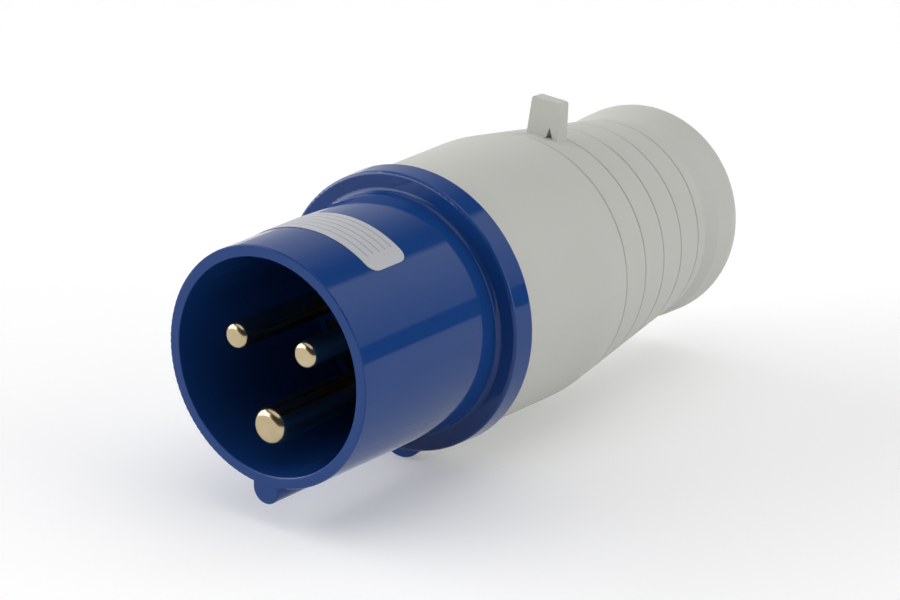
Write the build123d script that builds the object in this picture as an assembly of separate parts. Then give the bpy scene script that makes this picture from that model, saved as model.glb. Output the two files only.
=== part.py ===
from build123d import *
import os

# Industrial plug, 16 A, two poles and earth, for a splash-proof pin-and-sleeve coupling.
# Millimetres. The plug's axis is the Y axis. The origin is the centre of the shroud's mouth,
# Y runs back towards the cable, +Z is up and the key of the shroud points down.

# Largest radius, from which the collar, spigot and handle step in
grip_r = 27.55

# Shroud
mouth_r = 22.05
shroud_root_r = 23.2
shroud_wall = 2.1
cavity_draft = 0.3
cavity_depth = 38.5
mouth_edge_r = 0.2

# Key along the shroud
key_w = 5.7
key_tip_r = 25.65
key_edge_r = 0.3

# Collar, with the lug that the cover of a socket hooks behind
collar_w = 5.3
collar_ahead_of_floor = 0.9
collar_front_step = 0.45
collar_edge_r = 0.6
collar_root_fillet = 1.0
lug_r = 5.35
lug_tip_r = 29.9
lug_w = 2.7

# Floor of the shroud and spigot behind the collar
floor_ring_step = 2.45
floor_ring_w = 4.5
spigot_inset = 4.15
spigot_wall = 2.75
spigot_length = 9.5
insert_clearance = 0.12

# Bayonet that joins shell and handle
bayonet_count = 3
bayonet_height = 1.1
bayonet_w = 2.2
bayonet_setback = 1.7
bayonet_arc = 30.0
bayonet_clearance = 0.2
bayonet_turn = 60.0

# Seal between shell and handle
seal_section_r = 0.75
seal_groove_setback = 7.4

# Pins
thin_pin_recess = 0.85
earth_pin_recess = 0.3
thin_pin_r = 2.5
earth_pin_r = 3.5
thin_pin_x = 7.75
thin_pin_z = 3.83
earth_pin_z = -11.2
thin_tip_round = 1.25
earth_tip_round = 1.6
pin_root_extra_r = 0.4
pin_flange_extra_r = 2.2
pin_flange_w = 2.0
barrel_extra_thin = 1.5
barrel_extra_earth = 1.25
barrel_length = 14.0
wire_hole_r = 2.1
wire_hole_depth = 11.0

# Insert that carries the pins, and its screws
carrier_flange_w = 3.0
plate_w = 2.5
ear_depth = 7.35
ear_w = 6.5
ear_z = -2.0
carrier_screw_inset = 5.05
carrier_screw_r = 1.5
carrier_head_r = 2.8
carrier_head_w = 2.0
carrier_head_clearance = 0.4
carrier_screw_bite = 3.2
screw_hole_clearance = 0.15
tower_wall = 1.5
tower_clearance = 0.2
tower_overhang = 1.2

# Terminal screws
terminal_screw_r = 1.9
terminal_head_r = 2.9
terminal_head_w = 2.2
terminal_screw_setback = 9.5
terminal_screw_gap = 0.8
terminal_screw_bite = 0.5
slot_w = 0.9
slot_depth = 1.0

# Cord clamp on two legs behind the terminals
leg_inset = 4.45
leg_w = 3.4
leg_low_z = 2.6
leg_length = 20.5
clamp_length = 10.0
clamp_inset = 2.65
clamp_top_z = 9.0
clamp_saddle_depth = 7.5
clamp_gap = 0.8
cord_r = 6.0
cord_channel_r = 6.5
clamp_ridge_r = 0.6
clamp_ridge_pitch = 3.2
clamp_screw_inset = 5.4
clamp_screw_r = 1.9
clamp_head_r = 3.4
clamp_head_w = 2.4
nut_af = 6.9
nut_w = 3.0

# Handle
joint_gap = 0.15
handle_front_step = 1.25
handle_kink_step = 0.2
handle_neck_r = 22.3
grip_length = 28.25
taper_length = 45.95
kink_blend_r = 30.0
handle_wall = 2.6
handle_bore_clearance = 0.15
core_draft_r = 0.35
ring_count = 5
first_ring_setback = 6.45
ring_pitch = 8.92
ring_groove_w = 0.5
ring_groove_depth = 0.4

# Flared mouth of the handle
flare_length = 4.0
flare_r = 23.2
lip_length = 5.5
lip_r = 23.5
lip_round_depth = 3.3
lip_round_length = 5.2
bell_wall = 2.5
sleeve_wall = 2.0
sleeve_setback = 4.0
bulkhead_w = 3.0
bulkhead_hole_r = 8.0
bell_rib_count = 6
bell_rib_w = 1.8
bell_rib_setback = 7.0

# Tab on the handle
tab_angle = 6.1
tab_front_setback = 10.85
tab_foot_w = 7.3
tab_top_w = 6.8
tab_foot_t = 3.8
tab_top_t = 2.85
tab_top_r = 33.7
tab_corner_r = 0.6
notch_offset = 1.77
notch_lean = 0.3
notch_w = 1.56
notch_height = 2.2
notch_depth = 1.4

# Seal and ring in the cable mouth
grommet_r = 11.6
grommet_length = 10.5
grommet_clearance = 0.12
grommet_entry_length = 1.5
grommet_entry_flare = 1.3
grommet_ring_w = 2.2
grommet_ring_hole_r = 8.2

# Stations along the axis
collar_y = cavity_depth - collar_ahead_of_floor
collar_back_y = collar_y + collar_w
floor_ring_back_y = cavity_depth + floor_ring_w
spigot_end_y = collar_back_y + spigot_length
flange_back_y = floor_ring_back_y + carrier_flange_w
plate_back_y = flange_back_y + plate_w
barrel_end_y = flange_back_y + barrel_length
tower_end_y = barrel_end_y + tower_overhang
terminal_screw_y = flange_back_y + terminal_screw_setback
leg_end_y = plate_back_y + leg_length
clamp_end_y = leg_end_y + clamp_length
clamp_mid_y = leg_end_y + clamp_length / 2
seal_y = collar_back_y + seal_groove_setback
handle_y = collar_back_y + joint_gap
kink_y = collar_back_y + grip_length
neck_y = kink_y + taper_length
flare_y = neck_y + flare_length
lip_y = flare_y + lip_length
mouth_y = lip_y + lip_round_length
sleeve_end_y = mouth_y - sleeve_setback

# Radii and places that step in from others
collar_front_r = grip_r - collar_front_step
collar_height = collar_front_r - shroud_root_r
spigot_r = grip_r - spigot_inset
spigot_bore_r = spigot_r - spigot_wall
floor_ring_r = spigot_bore_r - floor_ring_step
ear_reach_r = spigot_bore_r - ear_depth
carrier_screw_x = spigot_bore_r - carrier_screw_inset
leg_x = spigot_bore_r - leg_inset
clamp_half_w = spigot_bore_r - clamp_inset
clamp_screw_x = clamp_half_w - clamp_screw_inset
handle_front_r = grip_r - handle_front_step
handle_kink_r = grip_r - handle_kink_step
handle_bore_r = spigot_r + handle_bore_clearance
taper_slope = (handle_kink_r - handle_neck_r) / taper_length


def turned(points, fillets=()):
    """Turn a closed outline of (radius, y) points about the plug's axis.

    fillets holds (corner point, radius) pairs.
    """
    outline = make_face(Polyline(*points, close=True))
    for corner, radius in fillets:
        vertex = outline.vertices().sort_by_distance(Vector(corner[0], corner[1], 0))[0]
        outline = fillet(vertex, radius)
    return revolve(outline, Axis.Y)


def rod(radius, y0, y1, x=0.0, z=0.0):
    """A round bar along Y."""
    station = Plane(origin=(x, y0, z), x_dir=(1, 0, 0), z_dir=(0, 1, 0))
    return extrude(station * Circle(radius), y1 - y0)


def post(radius, start, direction, length):
    """A round bar from a point in any direction."""
    return extrude(Plane(origin=start, z_dir=direction) * Circle(radius), length)


def block(x0, x1, y0, y1, z0, z1):
    """A box between two corners."""
    middle = ((x0 + x1) / 2, (y0 + y1) / 2, (z0 + z1) / 2)
    return Pos(*middle) * Box(x1 - x0, y1 - y0, z1 - z0)


def ring_sector(r0, r1, y0, y1, arc, turn):
    """A piece of a ring about the plug's axis, centred on the angle turn from +X."""
    station = make_face(Polyline((r0, y0), (r1, y0), (r1, y1), (r0, y1), close=True))
    return Rot(0, -turn - arc / 2, 0) * revolve(station, Axis.Y, arc)


def bayonet_turns(offset):
    """Angles of the bayonet's lugs, or of the slots that let them in."""
    return [offset + 90 + i * 360 / bayonet_count for i in range(bayonet_count)]


def ear_blocks(clearance):
    """The two ears on the floor ring, or the notches that clear them."""
    half = ear_w / 2 + clearance
    ears = []
    for side in (-1, 1):
        inner = side * (ear_reach_r - clearance)
        outer = side * (spigot_bore_r + 0.5)
        x0, x1 = sorted((inner, outer))
        ears.append(block(x0, x1, cavity_depth, floor_ring_back_y, ear_z - half, ear_z + half))
    return ears


def key_section(y, tip_r, root_r):
    """Section of the key at y: flat sides and a half-round tip."""
    half = key_w / 2
    low = tip_r - half
    outline = Polyline((-half, low), (-half, root_r), (half, root_r), (half, low))
    outline += ThreePointArc((half, low), (0, tip_r), (-half, low))
    return Plane(origin=(0, y, 0), x_dir=(1, 0, 0), z_dir=(0, 1, 0)) * make_face(outline)


def front_shell():
    """Blue moulding: shroud, key, collar, lug, floor ring and spigot."""
    cavity_mouth_r = mouth_r - shroud_wall
    cavity_floor_r = cavity_mouth_r - cavity_draft
    mouth_outer = (mouth_r, 0)
    mouth_inner = (cavity_mouth_r, 0)
    root = (shroud_root_r, collar_y)
    collar_front = (collar_front_r, collar_y)
    collar_back = (grip_r, collar_back_y)
    points = [
        mouth_inner,
        mouth_outer,
        root,
        collar_front,
        collar_back,
        (spigot_r, collar_back_y),
        (spigot_r, spigot_end_y),
        (spigot_bore_r, spigot_end_y),
        (spigot_bore_r, floor_ring_back_y),
        (floor_ring_r, floor_ring_back_y),
        (floor_ring_r, cavity_depth),
        (cavity_floor_r, cavity_depth),
    ]
    rounds = [
        (mouth_outer, mouth_edge_r),
        (mouth_inner, mouth_edge_r),
        (root, min(collar_root_fillet, collar_height / 3)),
        (collar_front, collar_edge_r),
        (collar_back, collar_edge_r),
    ]
    shell = turned(points, rounds)

    key = loft([
        key_section(0, key_tip_r, cavity_mouth_r + shroud_wall / 2),
        key_section(collar_y, key_tip_r + shroud_root_r - mouth_r, cavity_mouth_r + shroud_wall / 2),
    ], ruled=True)
    front_edges = key.edges().filter_by_position(Axis.Y, -0.01, 0.01)
    key = fillet([edge for edge in front_edges if edge.center().Z < -mouth_r], key_edge_r)
    shell += key

    lug_z = lug_r - lug_tip_r
    shell += rod(lug_r, collar_back_y - lug_w, collar_back_y, 0, lug_z)

    bayonet_y = collar_back_y + bayonet_setback
    for turn in bayonet_turns(0):
        shell += ring_sector(
            spigot_r - 0.5, spigot_r + bayonet_height, bayonet_y, bayonet_y + bayonet_w, bayonet_arc, turn
        )

    groove_half = seal_section_r + 0.15
    groove = turned([
        (spigot_r - 2 * seal_section_r + 0.1, seal_y - groove_half),
        (spigot_r + 1, seal_y - groove_half),
        (spigot_r + 1, seal_y + groove_half),
        (spigot_r - 2 * seal_section_r + 0.1, seal_y + groove_half),
    ])
    shell -= groove

    for ear in ear_blocks(0):
        shell += ear
    pilot_r = carrier_screw_r - 0.1
    for side in (-1, 1):
        pilot_x = side * carrier_screw_x
        shell -= rod(pilot_r, floor_ring_back_y - carrier_screw_bite - 0.3, floor_ring_back_y, pilot_x, ear_z)
    return shell


def pin(radius, recess, tip_round, x, z, barrel_extra, screw_side):
    """Turned contact pin, its flange, and the bored barrel that takes the wire."""
    root_r = radius + pin_root_extra_r
    flange_r = radius + pin_flange_extra_r
    barrel_r = radius + barrel_extra
    flange_y = flange_back_y - pin_flange_w
    tip = (radius, recess)
    outline = make_face(Polyline(
        (0, recess),
        tip,
        (radius, cavity_depth),
        (root_r, cavity_depth),
        (root_r, flange_y),
        (flange_r, flange_y),
        (flange_r, flange_back_y),
        (barrel_r, flange_back_y),
        (barrel_r, barrel_end_y),
        (0, barrel_end_y),
        close=True,
    ))
    outline = fillet(outline.vertices().sort_by_distance(Vector(tip[0], tip[1], 0))[0], tip_round)
    body = Pos(x, 0, z) * revolve(outline, Axis.Y)
    body -= rod(wire_hole_r, barrel_end_y - wire_hole_depth, barrel_end_y, x, z)
    hole_r = terminal_screw_r + 0.05
    body -= post(hole_r, (x, terminal_screw_y, z), (0, 0, screw_side), barrel_r + 1)
    return body


def terminal_screw(x, z, barrel_r, screw_side):
    """Slotted screw that clamps a wire in a barrel."""
    shank_start = wire_hole_r - terminal_screw_bite
    head_start = barrel_r + terminal_screw_gap
    foot = (x, terminal_screw_y, z + screw_side * shank_start)
    shank = post(terminal_screw_r, foot, (0, 0, screw_side), head_start - shank_start)
    seat = (x, terminal_screw_y, z + screw_side * head_start)
    head = post(terminal_head_r, seat, (0, 0, screw_side), terminal_head_w)
    top_z = z + screw_side * (head_start + terminal_head_w)
    z0, z1 = sorted((top_z, top_z - screw_side * slot_depth))
    slot = block(
        x - slot_w / 2, x + slot_w / 2,
        terminal_screw_y - terminal_head_r - 1, terminal_screw_y + terminal_head_r + 1,
        z0, z1,
    )
    return shank + head - slot


def pin_places():
    """Name, radius, x, z, barrel step and side of the screw for each pin."""
    return [
        ("earth", earth_pin_r, 0.0, earth_pin_z, barrel_extra_earth, -1),
        ("live", thin_pin_r, -thin_pin_x, thin_pin_z, barrel_extra_thin, 1),
        ("neutral", thin_pin_r, thin_pin_x, thin_pin_z, barrel_extra_thin, 1),
    ]


def pin_tip(name):
    """Setback behind the mouth and rounding of a pin's tip."""
    if name == "earth":
        return earth_pin_recess, earth_tip_round
    return thin_pin_recess, thin_tip_round


def contact_carrier():
    """Dark insert: a disc in the floor ring, a flange behind it, and the pins' seats."""
    disc_r = floor_ring_r - insert_clearance
    flange_r = spigot_bore_r - insert_clearance
    body = rod(disc_r, cavity_depth, floor_ring_back_y)
    for notch in ear_blocks(insert_clearance):
        body -= notch
    body += rod(flange_r, floor_ring_back_y, flange_back_y)
    for name, radius, x, z, barrel_extra, screw_side in pin_places():
        body -= rod(radius + pin_root_extra_r + 0.05, cavity_depth, flange_back_y, x, z)
        seat_r = radius + pin_flange_extra_r + 0.15
        body -= rod(seat_r, flange_back_y - pin_flange_w, flange_back_y, x, z)
    hole_r = carrier_screw_r + screw_hole_clearance
    for side in (-1, 1):
        body -= rod(hole_r, floor_ring_back_y, flange_back_y, side * carrier_screw_x, ear_z)
    return body


def carrier_screw(side):
    """Self-tapping screw through plate and carrier into an ear of the shell."""
    x = side * carrier_screw_x
    tip_y = floor_ring_back_y - carrier_screw_bite
    thread_r = carrier_screw_r - 0.15
    screw = rod(thread_r, tip_y, plate_back_y, x, ear_z)
    screw += rod(carrier_head_r, plate_back_y, plate_back_y + carrier_head_w, x, ear_z)
    head_top = plate_back_y + carrier_head_w
    for turn in (0, 90):
        bar = Box(2 * carrier_head_r * 0.65, slot_depth, slot_w)
        screw -= Pos(x, head_top - slot_depth / 2, ear_z) * Rot(0, turn, 0) * bar
    return screw


def clamp_channel(y0, y1):
    """Room for the cord through both halves of the clamp."""
    return rod(cord_channel_r, y0, y1)


def clamp_ridges():
    """Three half-round ridges that bite on the cord."""
    ridges = []
    for step in (-1, 0, 1):
        y = clamp_mid_y + step * clamp_ridge_pitch
        ring = turned([
            (cord_channel_r + 0.4, y - clamp_ridge_r),
            (cord_channel_r + 0.4, y + clamp_ridge_r),
            (cord_channel_r - clamp_ridge_r, y),
        ])
        ridges.append(ring)
    return ridges


def terminal_plate():
    """Plate behind the pins, with a tower round each terminal and legs to the cord clamp."""
    plate_r = spigot_bore_r - insert_clearance
    body = rod(plate_r, flange_back_y, plate_back_y)
    for name, radius, x, z, barrel_extra, screw_side in pin_places():
        tower_r = radius + barrel_extra + tower_clearance + tower_wall
        body += rod(tower_r, plate_back_y, tower_end_y, x, z)

    clamp_z0 = clamp_gap
    for side in (-1, 1):
        x0, x1 = sorted((side * (leg_x - leg_w / 2), side * (leg_x + leg_w / 2)))
        body += block(x0, x1, plate_back_y, leg_end_y, leg_low_z, clamp_top_z)
    cradle = block(-clamp_half_w, clamp_half_w, leg_end_y, clamp_end_y, clamp_z0, clamp_top_z)
    cradle -= clamp_channel(leg_end_y, clamp_end_y)
    upper = block(-clamp_half_w, clamp_half_w, leg_end_y, clamp_end_y, clamp_z0, clamp_top_z)
    for ridge in clamp_ridges():
        cradle += ridge & upper
    body += cradle

    for name, radius, x, z, barrel_extra, screw_side in pin_places():
        room_r = radius + barrel_extra + tower_clearance
        body -= rod(room_r, flange_back_y, tower_end_y, x, z)
        head_room_r = terminal_head_r + 0.3
        start = (x, terminal_screw_y, z)
        body -= post(head_room_r, start, (0, 0, screw_side), room_r + tower_wall + 1)

    hole_r = carrier_screw_r + screw_hole_clearance
    for side in (-1, 1):
        body -= rod(hole_r, flange_back_y, plate_back_y, side * carrier_screw_x, ear_z)
        room_r = carrier_head_r + carrier_head_clearance
        body -= rod(room_r, plate_back_y, tower_end_y, side * carrier_screw_x, ear_z)
        x = side * clamp_screw_x
        hole = post(clamp_screw_r + screw_hole_clearance, (x, clamp_mid_y, 0), (0, 0, 1), clamp_top_z + 1)
        body -= hole
        pocket = Pos(x, clamp_mid_y, clamp_top_z - nut_w / 2) * Box(nut_af + 0.2, nut_af + 0.2, nut_w)
        body -= pocket
    return body


def clamp_saddle():
    """Loose half of the cord clamp."""
    low_z = -clamp_gap - clamp_saddle_depth
    half_w = clamp_half_w - 0.5
    bar = block(-half_w, half_w, leg_end_y, clamp_end_y, low_z, -clamp_gap)
    body = bar - clamp_channel(leg_end_y, clamp_end_y)
    for ridge in clamp_ridges():
        body += ridge & bar
    for side in (-1, 1):
        start = (side * clamp_screw_x, clamp_mid_y, low_z - 1)
        body -= post(clamp_screw_r + screw_hole_clearance, start, (0, 0, 1), clamp_saddle_depth + 2)
    low_edges = body.edges().filter_by(Axis.Y).filter_by_position(Axis.Z, low_z - 0.01, low_z + 0.01)
    return fillet(low_edges, 1.5)


def clamp_screw(side):
    """Cross-slotted screw up through both halves of the clamp."""
    x = side * clamp_screw_x
    seat_z = -clamp_gap - clamp_saddle_depth
    shank = post(clamp_screw_r, (x, clamp_mid_y, seat_z), (0, 0, 1), clamp_top_z - seat_z)
    head = post(clamp_head_r, (x, clamp_mid_y, seat_z), (0, 0, -1), clamp_head_w)
    low_z = seat_z - clamp_head_w
    for size in ((2 * clamp_head_r * 0.6, slot_w), (slot_w, 2 * clamp_head_r * 0.6)):
        head -= Pos(x, clamp_mid_y, low_z + slot_depth / 2) * Box(size[0], size[1], slot_depth)
    return shank + head


def clamp_nut(side):
    """Square nut held in a pocket of the clamp."""
    x = side * clamp_screw_x
    nut = Pos(x, clamp_mid_y, clamp_top_z - nut_w / 2) * Box(nut_af, nut_af, nut_w)
    return nut - post(clamp_screw_r + 0.05, (x, clamp_mid_y, clamp_top_z - nut_w), (0, 0, 1), nut_w)


def handle_seal():
    """Rubber ring in the groove of the spigot."""
    centre_r = spigot_r - seal_section_r + 0.13
    section = Pos(centre_r, seal_y) * Circle(seal_section_r)
    return revolve(section, Axis.Y)


def tab():
    """Upright tab on the handle, thicker at its foot, with a notch in its front face."""
    front_y = kink_y + tab_front_setback
    back_y = front_y + tab_foot_t
    surface_r = handle_kink_r - taper_slope * tab_front_setback
    foot_r = surface_r - handle_wall / 2
    side_view = make_face(Polyline(
        (front_y, foot_r), (back_y, foot_r), (front_y + tab_top_t, tab_top_r), (front_y, tab_top_r),
        close=True,
    ))
    upright = Plane(origin=(-tab_foot_w / 2, 0, 0), x_dir=(0, 1, 0), z_dir=(1, 0, 0))
    body = extrude(upright * side_view, tab_foot_w)
    half_foot = tab_foot_w / 2
    half_top = tab_top_w / 2
    front_view = make_face(Polyline(
        (-half_foot, foot_r), (half_foot, foot_r), (half_top, tab_top_r), (-half_top, tab_top_r), close=True,
    ))
    corners = front_view.vertices().filter_by_position(Axis.Y, tab_top_r - 0.01, tab_top_r + 0.01)
    front_view = fillet(corners, tab_corner_r)
    facing = Plane(origin=(0, back_y + 1, 0), x_dir=(1, 0, 0), z_dir=(0, -1, 0))
    body = body & extrude(facing * front_view, tab_foot_t + 2)
    notch_view = make_face(Polyline(
        (notch_offset - notch_w / 2, surface_r - 0.1), (notch_offset + notch_w / 2, surface_r - 0.1),
        (notch_offset - notch_lean, surface_r + notch_height), close=True,
    ))
    notch_plane = Plane(origin=(0, front_y + notch_depth, 0), x_dir=(1, 0, 0), z_dir=(0, -1, 0))
    return body, extrude(notch_plane * notch_view, notch_depth + 1)


def handle_outline():
    """Outer outline of the handle as (radius, y) points, front to mouth."""
    return [(handle_front_r, handle_y), (handle_kink_r, kink_y), (handle_neck_r, neck_y),
            (flare_r, flare_y), (lip_r, lip_y)]


def handle_body():
    """Grey moulding: hollow handle, tab, rings, flared mouth and the sleeve for the grommet."""
    outer = handle_outline()
    lip_end_r = lip_r - lip_round_depth
    mouth_corner = (lip_end_r, mouth_y)
    bore_end_y = spigot_end_y + joint_gap
    catch_r = spigot_r + bayonet_height + bayonet_clearance
    catch_front_y = collar_back_y + bayonet_setback - bayonet_clearance
    catch_back_y = collar_back_y + bayonet_setback + bayonet_w + bayonet_clearance
    core_r = handle_bore_r - core_draft_r
    core_end_y = kink_y + (handle_kink_r - handle_wall - core_r + core_draft_r) / taper_slope
    bulkhead_y = neck_y - bulkhead_w
    bulkhead_core_r = handle_kink_r - handle_wall - taper_slope * (bulkhead_y - kink_y)
    sleeve_r = grommet_r + grommet_clearance
    sleeve_outer_r = sleeve_r + sleeve_wall
    bell_floor_y = neck_y + 0.5
    bell_floor_r = handle_neck_r - bell_wall
    bell_mouth_r = lip_end_r - bell_wall * 0.55
    inner = [
        (bell_mouth_r, mouth_y),
        (bell_mouth_r + 0.4, mouth_y - 2.5),
        (flare_r - bell_wall, flare_y),
        (bell_floor_r, bell_floor_y),
        (sleeve_outer_r, bell_floor_y),
        (sleeve_outer_r, sleeve_end_y),
        (sleeve_r, sleeve_end_y),
        (sleeve_r, neck_y),
        (bulkhead_hole_r, neck_y),
        (bulkhead_hole_r, bulkhead_y),
        (bulkhead_core_r, bulkhead_y),
        (core_r - core_draft_r, core_end_y),
        (core_r, bore_end_y),
        (handle_bore_r, bore_end_y),
        (handle_bore_r, catch_back_y),
        (catch_r, catch_back_y),
        (catch_r, catch_front_y),
        (handle_bore_r, catch_front_y),
        (handle_bore_r, handle_y),
    ]
    lines = Polyline(*outer)
    lines += EllipticalCenterArc((lip_end_r, lip_y), lip_round_depth, lip_round_length, arc_size=90)
    lines += Polyline(mouth_corner, *inner, outer[0])
    section = make_face(lines)
    soft = [((handle_kink_r, kink_y), kink_blend_r), ((handle_neck_r, neck_y), 0.6),
            ((flare_r, flare_y), 0.8), ((handle_front_r, handle_y), 0.3), ((bell_mouth_r, mouth_y), 0.6)]
    for corner, radius in soft:
        vertex = section.vertices().sort_by_distance(Vector(corner[0], corner[1], 0))[0]
        section = fillet(vertex, radius)
    body = revolve(section, Axis.Y)

    tab_body, notch = tab()
    turn = Rot(0, tab_angle, 0)
    body += turn * tab_body

    for index in range(ring_count):
        y = kink_y + first_ring_setback + index * ring_pitch
        surface_r = handle_kink_r - taper_slope * (y - kink_y)
        half = ring_groove_w / 2
        groove = turned([
            (surface_r - ring_groove_depth, y),
            (surface_r + ring_groove_depth, y - 2 * half),
            (surface_r + ring_groove_depth, y + 2 * half),
        ])
        body -= groove
    body -= turn * notch

    for slot_turn in bayonet_turns(bayonet_turn):
        body -= ring_sector(
            handle_bore_r - 0.5, catch_r, handle_y - 0.5, catch_front_y + 0.5, bayonet_arc + 4, slot_turn
        )

    rib_room = turned([
        (sleeve_outer_r - 0.3, bell_floor_y - 0.3),
        (bell_floor_r + 0.4, bell_floor_y - 0.3),
        (flare_r - bell_wall + 0.4, flare_y),
        (flare_r - bell_wall + 0.4, mouth_y - bell_rib_setback),
        (sleeve_outer_r - 0.3, mouth_y - bell_rib_setback),
    ])
    for index in range(bell_rib_count):
        angle = 30 + index * 360 / bell_rib_count
        wall = Rot(0, angle, 0) * block(
            -bell_rib_w / 2, bell_rib_w / 2, neck_y - 1, mouth_y, sleeve_outer_r - 1, lip_r
        )
        body += wall & rib_room
    return body


def cable_grommet():
    """Rubber seal pressed into the handle's sleeve, flared at both ends of its bore."""
    end_y = neck_y + grommet_length
    entry_r = cord_r + grommet_entry_flare
    return turned([
        (grommet_r, neck_y),
        (grommet_r, end_y),
        (entry_r, end_y),
        (cord_r, end_y - grommet_entry_length),
        (cord_r, neck_y + grommet_entry_length),
        (entry_r, neck_y),
    ])


def grommet_ring():
    """Hard ring that holds the grommet in its sleeve."""
    start_y = neck_y + grommet_length
    end_y = start_y + grommet_ring_w
    corner = (grommet_ring_hole_r, end_y)
    return turned([
        (grommet_ring_hole_r, start_y),
        (grommet_r, start_y),
        (grommet_r, end_y),
        corner,
    ], [(corner, 0.8)])


def build():
    """All nodes by name."""
    nodes = {"front_shell": front_shell()}
    for name, radius, x, z, barrel_extra, screw_side in pin_places():
        recess, tip_round = pin_tip(name)
        nodes["pin_" + name] = pin(radius, recess, tip_round, x, z, barrel_extra, screw_side)
        nodes["terminal_screw_" + name] = terminal_screw(x, z, radius + barrel_extra, screw_side)
    nodes["contact_carrier"] = contact_carrier()
    nodes["terminal_plate"] = terminal_plate()
    nodes["clamp_saddle"] = clamp_saddle()
    for side, word in ((-1, "left"), (1, "right")):
        nodes["carrier_screw_" + word] = carrier_screw(side)
        nodes["clamp_screw_" + word] = clamp_screw(side)
        nodes["clamp_nut_" + word] = clamp_nut(side)
    nodes["handle_seal"] = handle_seal()
    nodes["handle_body"] = handle_body()
    nodes["cable_grommet"] = cable_grommet()
    nodes["grommet_ring"] = grommet_ring()
    return nodes


os.makedirs("parts", exist_ok=True)
for node_name, solid in build().items():
    export_step(solid, "parts/" + node_name + ".step")
    print(node_name, len(solid.solids()), round(solid.volume, 1))
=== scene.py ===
# %% [markdown]
# # A 16 A industrial plug in blue and light grey
# This notebook dresses a finished model of a splash-proof plug. The solid pieces come in ready made and
# stay where they are. What is made here is what the eye needs on top of them: moulded plastic with the
# right gloss, plated pins, the paper label, the studio and the camera.

import math

import bmesh
import bpy
from mathutils import Matrix, Vector


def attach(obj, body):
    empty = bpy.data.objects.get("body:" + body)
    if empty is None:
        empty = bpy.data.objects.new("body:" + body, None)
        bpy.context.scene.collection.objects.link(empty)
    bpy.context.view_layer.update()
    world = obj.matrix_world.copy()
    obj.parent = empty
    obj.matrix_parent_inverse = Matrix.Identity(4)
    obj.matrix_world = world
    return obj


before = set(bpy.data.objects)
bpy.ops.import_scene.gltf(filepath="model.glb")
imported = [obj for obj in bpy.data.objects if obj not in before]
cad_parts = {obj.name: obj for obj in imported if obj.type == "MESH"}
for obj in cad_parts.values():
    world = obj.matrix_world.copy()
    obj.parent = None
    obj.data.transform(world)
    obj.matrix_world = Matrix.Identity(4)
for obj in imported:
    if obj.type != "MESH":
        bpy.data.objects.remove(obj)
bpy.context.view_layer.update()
print("pieces in the model:", len(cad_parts))

MM = 0.001

# %% [markdown]
# ## Colours and nodes
# Colours are picked as sRGB hex values, as on a paint chart, but the shaders count light, so each one is
# turned to linear first. One helper adds a node, sets its values and joins its inputs, which keeps every
# material below down to a few readable lines. Where several inputs share a name, as the colours of a Mix
# node do, the input is given by its number, such as _6. Patterns take their scale from a real size: a
# noise with a scale of one over 5 mm has patches about 5 mm wide.


# %% Helpers for colours, nodes and materials
def linear(hex_colour):
    """A linear colour from an sRGB hex value."""
    channels = [int(hex_colour[i:i + 2], 16) / 255 for i in (1, 3, 5)]
    return tuple([c / 12.92 if c <= 0.04045 else ((c + 0.055) / 1.055) ** 2.4 for c in channels] + [1.0])


def add(tree, kind, settings=None, **inputs):
    """Add a node: settings are its own fields, inputs are values or sockets to join."""
    node = tree.nodes.new(kind)
    for field, value in (settings or {}).items():
        setattr(node, field, value)
    for name, value in inputs.items():
        key = int(name[1:]) if name[0] == "_" else name.replace("_", " ")
        if isinstance(value, bpy.types.NodeSocket):
            tree.links.new(value, node.inputs[key])
        else:
            node.inputs[key].default_value = value
    return node


def new_material(name):
    """A material with a bare Principled shader and an output."""
    material = bpy.data.materials.new(name)
    material.use_nodes = True
    tree = material.node_tree
    tree.nodes.clear()
    shader = add(tree, "ShaderNodeBsdfPrincipled")
    add(tree, "ShaderNodeOutputMaterial", Surface=shader.outputs["BSDF"])
    return material, tree, shader


def dress(node_name, material):
    """Give a piece of the model its finish."""
    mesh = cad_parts[node_name].data
    mesh.materials.clear()
    mesh.materials.append(material)


print("middle grey in linear light:", [round(c, 3) for c in linear("#808080")[:3]])

# %% [markdown]
# ## Glossy blue polyamide
# The front of the plug is injection moulded in blue polyamide from a polished steel mould. Such a surface
# is smooth, so it mirrors the lights, but the plastic shrinks a little as it cools, which leaves a faint,
# wide ripple. The ripple is what keeps a long reflection from looking like a computer's. It could be
# modelled, but it is a few millimetres long and only some ten microns high, so a slow noise in the bump
# does the same. The colour drifts slightly over a longer way, as pigment does in a melt.

# %% Blue moulding
BLUE_RIPPLE = 7.14 * MM
BLUE_DRIFT = 16.7 * MM


def blue_polyamide():
    material, tree, shader = new_material("glossy_moulded_blue_polyamide")
    place = add(tree, "ShaderNodeTexCoord").outputs["Object"]
    ripple = add(tree, "ShaderNodeTexNoise", Vector=place, Scale=1 / BLUE_RIPPLE, Detail=1.0)
    tone = add(tree, "ShaderNodeTexNoise", Vector=place, Scale=1 / BLUE_DRIFT, Detail=2.0)
    colour = add(
        tree, "ShaderNodeMix", {"data_type": "RGBA"},
        Factor=tone.outputs["Fac"], _6=linear("#173E7D"), _7=linear("#194183"),
    )
    bump = add(tree, "ShaderNodeBump", Height=ripple.outputs["Fac"], Strength=0.05, Distance=0.2 * MM)
    tree.links.new(colour.outputs[2], shader.inputs["Base Color"])
    tree.links.new(bump.outputs["Normal"], shader.inputs["Normal"])
    shader.inputs["Roughness"].default_value = 0.08
    shader.inputs["IOR"].default_value = 1.35
    return material


blue = blue_polyamide()
print("finish:", blue.name)

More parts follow.
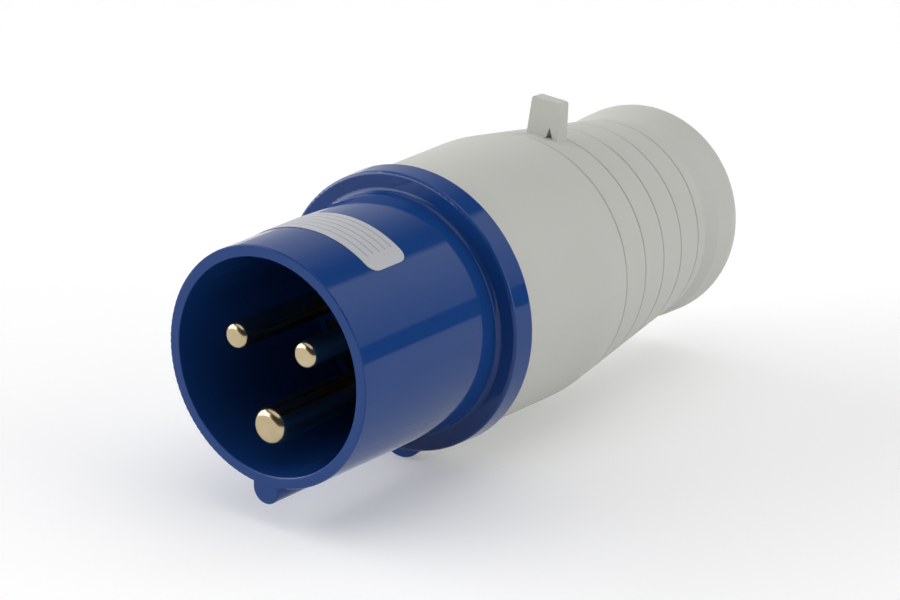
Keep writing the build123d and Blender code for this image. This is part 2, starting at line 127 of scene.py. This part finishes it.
# %% [markdown]
# ## Light grey polyamide
# The handle is moulded in light grey polyamide from a mould with a fine spark-eroded face, so that a hand
# doesn't slip on it. The real grain is about a tenth of a millimetre across, too fine to show, so it is
# drawn at about a quarter of a millimetre. It spreads each highlight wide, so the surface is rough and
# the bump very small.

# %% Grey moulding
GREY_GRAIN = 0.238 * MM
GREY_DRIFT = 22.2 * MM


def grey_polyamide():
    material, tree, shader = new_material("matte_moulded_grey_polyamide")
    place = add(tree, "ShaderNodeTexCoord").outputs["Object"]
    grain = add(tree, "ShaderNodeTexNoise", Vector=place, Scale=1 / GREY_GRAIN, Detail=2.0)
    tone = add(tree, "ShaderNodeTexNoise", Vector=place, Scale=1 / GREY_DRIFT, Detail=2.0)
    colour = add(
        tree, "ShaderNodeMix", {"data_type": "RGBA"},
        Factor=tone.outputs["Fac"], _6=linear("#C3C4BD"), _7=linear("#C8C9C3"),
    )
    bump = add(tree, "ShaderNodeBump", Height=grain.outputs["Fac"], Strength=0.12, Distance=0.05 * MM)
    tree.links.new(colour.outputs[2], shader.inputs["Base Color"])
    tree.links.new(bump.outputs["Normal"], shader.inputs["Normal"])
    shader.inputs["Roughness"].default_value = 0.55
    shader.inputs["IOR"].default_value = 1.5
    return material


grey = grey_polyamide()
print("finish:", grey.name)

# %% [markdown]
# ## Black insert and rubber seals
# The insert that carries the pins is black polyamide with glass fibre in it, which leaves the surface
# dull and slightly grained. The seals are black rubber, which takes on a dusty grey bloom in patches a
# few millimetres wide. Neither has a shape of its own to add, so a noise in colour and bump is enough.

# %% Black insert
BLACK_GRAIN = 0.4 * MM


def black_polyamide():
    material, tree, shader = new_material("matte_moulded_black_polyamide")
    place = add(tree, "ShaderNodeTexCoord").outputs["Object"]
    grain = add(tree, "ShaderNodeTexNoise", Vector=place, Scale=1 / BLACK_GRAIN, Detail=2.0)
    colour = add(
        tree, "ShaderNodeMix", {"data_type": "RGBA"},
        Factor=grain.outputs["Fac"], _6=linear("#131519"), _7=linear("#1A1C21"),
    )
    bump = add(tree, "ShaderNodeBump", Height=grain.outputs["Fac"], Strength=0.1, Distance=0.05 * MM)
    tree.links.new(colour.outputs[2], shader.inputs["Base Color"])
    tree.links.new(bump.outputs["Normal"], shader.inputs["Normal"])
    shader.inputs["Roughness"].default_value = 0.45
    shader.inputs["IOR"].default_value = 1.5
    return material


black = black_polyamide()
print("finish:", black.name)

# %% Seal rubber
RUBBER_BLOOM = 2.86 * MM


def seal_rubber():
    material, tree, shader = new_material("moulded_black_rubber")
    place = add(tree, "ShaderNodeTexCoord").outputs["Object"]
    bloom = add(tree, "ShaderNodeTexNoise", Vector=place, Scale=1 / RUBBER_BLOOM, Detail=3.0)
    colour = add(
        tree, "ShaderNodeMix", {"data_type": "RGBA"},
        Factor=bloom.outputs["Fac"], _6=linear("#1B1B1C"), _7=linear("#262627"),
    )
    tree.links.new(colour.outputs[2], shader.inputs["Base Color"])
    shader.inputs["Roughness"].default_value = 0.72
    shader.inputs["IOR"].default_value = 1.52
    return material


rubber = seal_rubber()
print("finish:", rubber.name)

# %% [markdown]
# ## Plated pins
# The pins are brass, turned on a lathe and nickel plated. The plating is thin and warm, so they look pale
# gold at the tips. The lathe leaves fine rings round each pin and across its end. Real rings are under a
# tenth of a millimetre apart, so they are drawn at a quarter of a millimetre to show. The rings could be
# modelled, but a noise along one line is lighter: the line runs back along the pin, and on the end it
# runs outwards from the pin's own middle, so each pin has a finish of its own.

# %% Plated pins
THIN_PIN_X = 7.75 * MM
THIN_PIN_Z = 3.83 * MM
THICK_PIN_Z = -11.2 * MM
LATHE_PITCH = 0.25 * MM
STAIN = 3.85 * MM


def plated_brass(node_name, middle_x, middle_z):
    material, tree, shader = new_material("turned_nickel_plated_brass_" + node_name)
    place = add(tree, "ShaderNodeTexCoord").outputs["Object"]
    along = add(tree, "ShaderNodeSeparateXYZ", Vector=place)
    middle = add(tree, "ShaderNodeCombineXYZ", X=middle_x, Y=along.outputs["Y"], Z=middle_z)
    out = add(
        tree, "ShaderNodeVectorMath", {"operation": "DISTANCE"}, _0=place, _1=middle.outputs["Vector"],
    ).outputs["Value"]
    path = add(tree, "ShaderNodeMath", {"operation": "ADD"}, _0=along.outputs["Y"], _1=out)
    lathe = add(
        tree, "ShaderNodeTexNoise", {"noise_dimensions": "1D"},
        W=path.outputs["Value"], Scale=1 / LATHE_PITCH, Detail=1.0,
    )
    stain = add(tree, "ShaderNodeTexNoise", Vector=place, Scale=1 / STAIN, Detail=3.0)
    colour = add(
        tree, "ShaderNodeMix", {"data_type": "RGBA"},
        Factor=stain.outputs["Fac"], _6=linear("#AF9C76"), _7=linear("#CDBE9F"),
    )
    bump = add(tree, "ShaderNodeBump", Height=lathe.outputs["Fac"], Strength=0.3, Distance=0.02 * MM)
    tree.links.new(colour.outputs[2], shader.inputs["Base Color"])
    tree.links.new(bump.outputs["Normal"], shader.inputs["Normal"])
    shader.inputs["Metallic"].default_value = 1.0
    shader.inputs["Roughness"].default_value = 0.2
    return material


thin_left = plated_brass("live", -THIN_PIN_X, THIN_PIN_Z)
thin_right = plated_brass("neutral", THIN_PIN_X, THIN_PIN_Z)
thick = plated_brass("earth", 0.0, THICK_PIN_Z)
print("finishes:", thin_left.name, thin_right.name, thick.name)

# %% [markdown]
# ## Steel screws and nuts
# The screws and nuts are steel with a zinc coat. Zinc grows in small grey crystals, about a millimetre
# across here, which a noise between two greys shows.

# %% Zinc-plated steel
ZINC_CRYSTAL = 1.11 * MM


def zinc_steel():
    material, tree, shader = new_material("zinc_plated_steel")
    place = add(tree, "ShaderNodeTexCoord").outputs["Object"]
    grain = add(tree, "ShaderNodeTexNoise", Vector=place, Scale=1 / ZINC_CRYSTAL, Detail=3.0)
    colour = add(
        tree, "ShaderNodeMix", {"data_type": "RGBA"},
        Factor=grain.outputs["Fac"], _6=linear("#A9ADB0"), _7=linear("#C4C7C9"),
    )
    tree.links.new(colour.outputs[2], shader.inputs["Base Color"])
    shader.inputs["Metallic"].default_value = 1.0
    shader.inputs["Roughness"].default_value = 0.32
    return material


steel = zinc_steel()
print("finish:", steel.name)

# %% [markdown]
# ## Dress the model
# Each piece that isn't steel is named with its finish. Whatever isn't in the list is a screw or a nut.

# %% Dress the pieces of the model
finishes = {
    "front_shell": blue,
    "handle_body": grey,
    "grommet_ring": grey,
    "contact_carrier": black,
    "terminal_plate": black,
    "clamp_saddle": black,
    "handle_seal": rubber,
    "cable_grommet": rubber,
    "pin_live": thin_left,
    "pin_neutral": thin_right,
    "pin_earth": thick,
}
for node_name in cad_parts:
    dress(node_name, finishes.get(node_name, steel))
print("finishes given:", len(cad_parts))

# %% [markdown]
# ## The paper label
# A silver-grey paper label is stuck over the top of the shroud. It is cut flat with round corners and
# then wrapped, so it is made the same way: a flat rectangle gets its corners rounded, is cut into narrow
# strips so that it can bend, gets the thickness of paper, and is rolled round the shroud. A patch of the
# shroud in another colour would be simpler, but it wouldn't have the paper's edge. The shroud widens
# slightly towards the collar, so the rolling follows its taper.

# %% Cut and wrap the label
LABEL_FRONT = 11.8 * MM
LABEL_BACK = 21.7 * MM
LABEL_REACH = math.radians(39.5)
LABEL_CORNER = 2.1 * MM
LABEL_STRIPS = 64
PAPER = 0.09 * MM
GLUE = 0.02 * MM
SHROUD_FRONT_R = 22.05 * MM
SHROUD_ROOT_R = 23.2 * MM
SHROUD_LENGTH = 37.6 * MM


def shroud_radius(y):
    """Outer radius of the shroud at a distance y from its mouth."""
    return SHROUD_FRONT_R + (SHROUD_ROOT_R - SHROUD_FRONT_R) * y / SHROUD_LENGTH


def wrapped_label():
    middle_y = (LABEL_FRONT + LABEL_BACK) / 2
    wrap_r = shroud_radius(middle_y)
    half_arc = LABEL_REACH * wrap_r
    bm = bmesh.new()
    bmesh.ops.create_grid(bm, x_segments=1, y_segments=1, size=0.5)
    bmesh.ops.scale(bm, vec=(2 * half_arc, LABEL_BACK - LABEL_FRONT, 1), verts=bm.verts)
    bmesh.ops.bevel(
        bm, geom=bm.verts[:], offset=LABEL_CORNER, affect="VERTICES", segments=8, profile=0.5, material=-1,
    )
    for i in range(1, LABEL_STRIPS):
        x = -half_arc + 2 * half_arc * i / LABEL_STRIPS
        whole = bm.verts[:] + bm.edges[:] + bm.faces[:]
        bmesh.ops.bisect_plane(bm, geom=whole, plane_co=(x, 0, 0), plane_no=(1, 0, 0))
    bmesh.ops.solidify(bm, geom=bm.faces[:], thickness=PAPER)
    bmesh.ops.recalc_face_normals(bm, faces=bm.faces[:])
    for vert in bm.verts:
        y = middle_y + vert.co.y
        angle = vert.co.x / wrap_r
        radius = shroud_radius(y) + GLUE + PAPER + vert.co.z
        vert.co = Vector((radius * math.sin(angle), y, radius * math.cos(angle)))
    mesh = bpy.data.meshes.new("paper_label")
    bm.to_mesh(mesh)
    bm.free()
    label = bpy.data.objects.new("paper_label", mesh)
    bpy.context.scene.collection.objects.link(label)
    return label


label = wrapped_label()
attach(label, "root")
print("label faces:", len(label.data.polygons))

# %% [markdown]
# ## Rules on the label
# Five fine grey rules are printed on the paper to write on. They are ink, so they are a colour and no
# relief. Each is a thin ring at its own distance along the plug, cut off short of the label's ends by the
# angle round the plug. The fibres of real paper are too fine to show, so its mottle is drawn two thirds
# of a millimetre wide.

# %% Print the label
RULE_FIRST = 13.7 * MM
RULE_PITCH = 1.65 * MM
RULE_WIDTH = 0.22 * MM
RULE_COUNT = 5
RULE_FROM = math.radians(-34)
RULE_TO = math.radians(31)
PAPER_MOTTLE = 0.667 * MM


def silver_paper():
    material, tree, shader = new_material("printed_silver_label_paper")
    place = add(tree, "ShaderNodeTexCoord").outputs["Object"]
    along = add(tree, "ShaderNodeSeparateXYZ", Vector=place).outputs
    fibre = add(tree, "ShaderNodeTexNoise", Vector=place, Scale=1 / PAPER_MOTTLE, Detail=3.0)
    paper = add(
        tree, "ShaderNodeMix", {"data_type": "RGBA"},
        Factor=fibre.outputs["Fac"], _6=linear("#B8BABF"), _7=linear("#C2C4C9"),
    )
    clock = add(tree, "ShaderNodeMath", {"operation": "ARCTAN2"}, _0=along["X"], _1=along["Z"]).outputs[0]
    middle_clock = (RULE_FROM + RULE_TO) / 2
    half_clock = (RULE_TO - RULE_FROM) / 2
    inside = add(
        tree, "ShaderNodeMath", {"operation": "COMPARE"}, _0=clock, _1=middle_clock, _2=half_clock,
    ).outputs[0]
    ink = 0.0
    for i in range(RULE_COUNT):
        rule_y = RULE_FIRST + i * RULE_PITCH
        line = add(
            tree, "ShaderNodeMath", {"operation": "COMPARE"}, _0=along["Y"], _1=rule_y, _2=RULE_WIDTH / 2,
        )
        ink = add(tree, "ShaderNodeMath", {"operation": "ADD"}, _0=line.outputs[0], _1=ink).outputs[0]
    ink = add(tree, "ShaderNodeMath", {"operation": "MULTIPLY"}, _0=ink, _1=inside).outputs[0]
    printed = add(
        tree, "ShaderNodeMix", {"data_type": "RGBA"},
        Factor=ink, _6=paper.outputs[2], _7=linear("#8B8D93"),
    )
    tree.links.new(printed.outputs[2], shader.inputs["Base Color"])
    shader.inputs["Roughness"].default_value = 0.5
    shader.inputs["IOR"].default_value = 1.5
    return material


label.data.materials.append(silver_paper())
print("rules printed:", RULE_COUNT)

# %% [markdown]
# ## The floor
# The plug lies over a sheet of white board. A real white sheet is lit to pure white without lighting the
# plug more, which is hard to do, so the board gets a little light of its own that only the camera, gloss
# and glass see. The rest of its white is light that falls on it, and that part still takes a shadow.

# %% Floor
FLOOR_Z = -30.2 * MM
FLOOR_HALF = 1.6
FLOOR_LIFT = 0.2


def white_board():
    material, tree, shader = new_material("matte_white_studio_board")
    rays = add(tree, "ShaderNodeLightPath").outputs
    seen = add(
        tree, "ShaderNodeMath", {"operation": "ADD"}, _0=rays["Is Camera Ray"], _1=rays["Is Glossy Ray"],
    )
    seen = add(
        tree, "ShaderNodeMath", {"operation": "ADD", "use_clamp": True},
        _0=seen.outputs[0], _1=rays["Is Transmission Ray"],
    )
    lift = add(tree, "ShaderNodeMath", {"operation": "MULTIPLY"}, _0=seen.outputs[0], _1=FLOOR_LIFT)
    tree.links.new(lift.outputs[0], shader.inputs["Emission Strength"])
    shader.inputs["Emission Color"].default_value = (1, 1, 1, 1)
    shader.inputs["Base Color"].default_value = linear("#F0F0F0")
    shader.inputs["Roughness"].default_value = 0.9
    shader.inputs["Specular IOR Level"].default_value = 0.0
    return material


def pale_floor():
    bm = bmesh.new()
    bmesh.ops.create_grid(bm, x_segments=1, y_segments=1, size=FLOOR_HALF)
    bmesh.ops.translate(bm, vec=(0, 0, FLOOR_Z), verts=bm.verts)
    mesh = bpy.data.meshes.new("studio_floor")
    bm.to_mesh(mesh)
    bm.free()
    floor = bpy.data.objects.new("studio_floor", mesh)
    bpy.context.scene.collection.objects.link(floor)
    floor.data.materials.append(white_board())
    return floor


floor = pale_floor()
print("floor at", FLOOR_Z, "m")

# %% [markdown]
# ## The tent
# Gloss only shows what stands round it. The long pale and dark stripes along the shroud are the cloth
# sheets of a light tent and the dark gaps between them, so the tent is what has to be built. Lamps could
# carry the sheets, but painting them on the world is simpler: each sheet is a rectangle in bearing and
# height. The bearing is the compass angle round the plug in radians, zero straight behind it and growing
# to its right, and the height is the sine of the angle above the floor. Each sheet has a level and its
# edges. An edge is a ramp, written as where it is dark and where it is lit: a short ramp is crisp, and a
# long one lets the sheet fade out. Where sheets overlap, the brighter one counts.

# %% Sheets of the tent
TENT_SHADE = 0.06
SHEETS = {
    "back": (0.66, {"bearing": [(-1.6, -1.5), (0.08, -0.55)], "height": [(-0.02, 0.0), (0.8, 0.7)]}),
    "right": (1.2, {"bearing": [(0.23, 0.3), (0.95, 0.85)], "height": [(0.165, 0.18), (-0.25, 0.6)]}),
    "side": (2.6, {"bearing": [(0.95, 1.1), (1.65, 1.55)], "height": [(-0.02, 0.0), (0.75, 0.65)]}),
    "front": (3.9, {"bearing": [(-2.75, -2.6), (-1.3, -1.5)], "height": [(-0.02, 0.02), (0.65, 0.5)]}),
    "roof": (0.85, {"height": [(0.72, 0.8)]}),
}


def studio_world():
    world = bpy.data.worlds.new("tent")
    bpy.context.scene.world = world
    world.use_nodes = True
    tree = world.node_tree
    tree.nodes.clear()
    direction = add(tree, "ShaderNodeTexCoord").outputs["Generated"]
    way = add(tree, "ShaderNodeSeparateXYZ", Vector=direction).outputs
    bearing = add(tree, "ShaderNodeMath", {"operation": "ARCTAN2"}, _0=way["X"], _1=way["Y"]).outputs[0]
    measures = {"bearing": bearing, "height": way["Z"]}
    brightest = TENT_SHADE
    for light, edges in SHEETS.values():
        for measure, ramps in edges.items():
            for dark, lit in ramps:
                ramp = add(tree, "ShaderNodeMapRange", Value=measures[measure], From_Min=dark, From_Max=lit)
                product = add(
                    tree, "ShaderNodeMath", {"operation": "MULTIPLY"}, _0=ramp.outputs["Result"], _1=light,
                )
                light = product.outputs[0]
        brightest = add(tree, "ShaderNodeMath", {"operation": "MAXIMUM"}, _0=light, _1=brightest).outputs[0]
    glow = add(tree, "ShaderNodeBackground", Color=(1, 1, 1, 1), Strength=brightest)
    add(tree, "ShaderNodeOutputWorld", Surface=glow.outputs["Background"])


studio_world()
print("sheets in the tent:", ", ".join(SHEETS))

# %% [markdown]
# ## A soft lamp
# The tent alone gives hardly any shadow. One large lamp overhead shapes the handle and puts a soft shadow
# under the plug. A small lamp would give a hard shadow and a bright spot, so this one is nearly as wide as
# it is high.

# %% Lamp
LAMP_PLACE = Vector((0.25, -0.05, 0.9))
LAMP_SIDE = 0.7
LAMP_POWER = 0.6
LAMP_TARGET = Vector((0, 60 * MM, 0))
lamp_data = bpy.data.lights.new("roof_lamp", "AREA")
lamp_data.shape = "SQUARE"
lamp_data.size = LAMP_SIDE
lamp_data.energy = LAMP_POWER
lamp = bpy.data.objects.new("roof_lamp", lamp_data)
bpy.context.scene.collection.objects.link(lamp)
lamp.location = LAMP_PLACE
lamp.rotation_euler = (LAMP_TARGET - LAMP_PLACE).to_track_quat("-Z", "Y").to_euler()
print("lamp distance:", round((LAMP_TARGET - LAMP_PLACE).length, 2), "m")

# %% [markdown]
# ## The camera
# The camera stands to the right of the plug's mouth and a little above it, about a third of a metre away,
# with a long lens, so the shroud runs away from the eye without looking stretched. Its frame is turned a
# degree or two. Angles could say that, but the directions of its right side and its top are easier to
# check, and they become the camera's axes as they stand.

# %% Camera
CAMERA_PLACE = Vector((218.58, -258.13, 127.91)) * MM
RIGHT = Vector((0.81577, 0.57787, 0.02421)).normalized()
UP = Vector((-0.20487, 0.24953, 0.94645)).normalized()
FOCAL_LENGTH = 83.2
SENSOR_WIDTH = 36.0
SHIFT = -0.00117
NEAREST = 0.01
lens = bpy.data.cameras.new("camera")
lens.lens = FOCAL_LENGTH
lens.sensor_width = SENSOR_WIDTH
lens.shift_x = SHIFT
lens.clip_start = NEAREST
camera = bpy.data.objects.new("camera", lens)
bpy.context.scene.collection.objects.link(camera)
turn = Matrix((RIGHT, UP, RIGHT.cross(UP))).transposed().to_4x4()
camera.matrix_world = Matrix.Translation(CAMERA_PLACE) @ turn
bpy.context.scene.camera = camera
bpy.context.scene.view_settings.view_transform = "Standard"
print("camera distance:", round(CAMERA_PLACE.length, 3), "m")

# %% [markdown]
# ## The last update
# The view layer is brought up to date at the end.

# %% Update the view layer
bpy.context.view_layer.update()
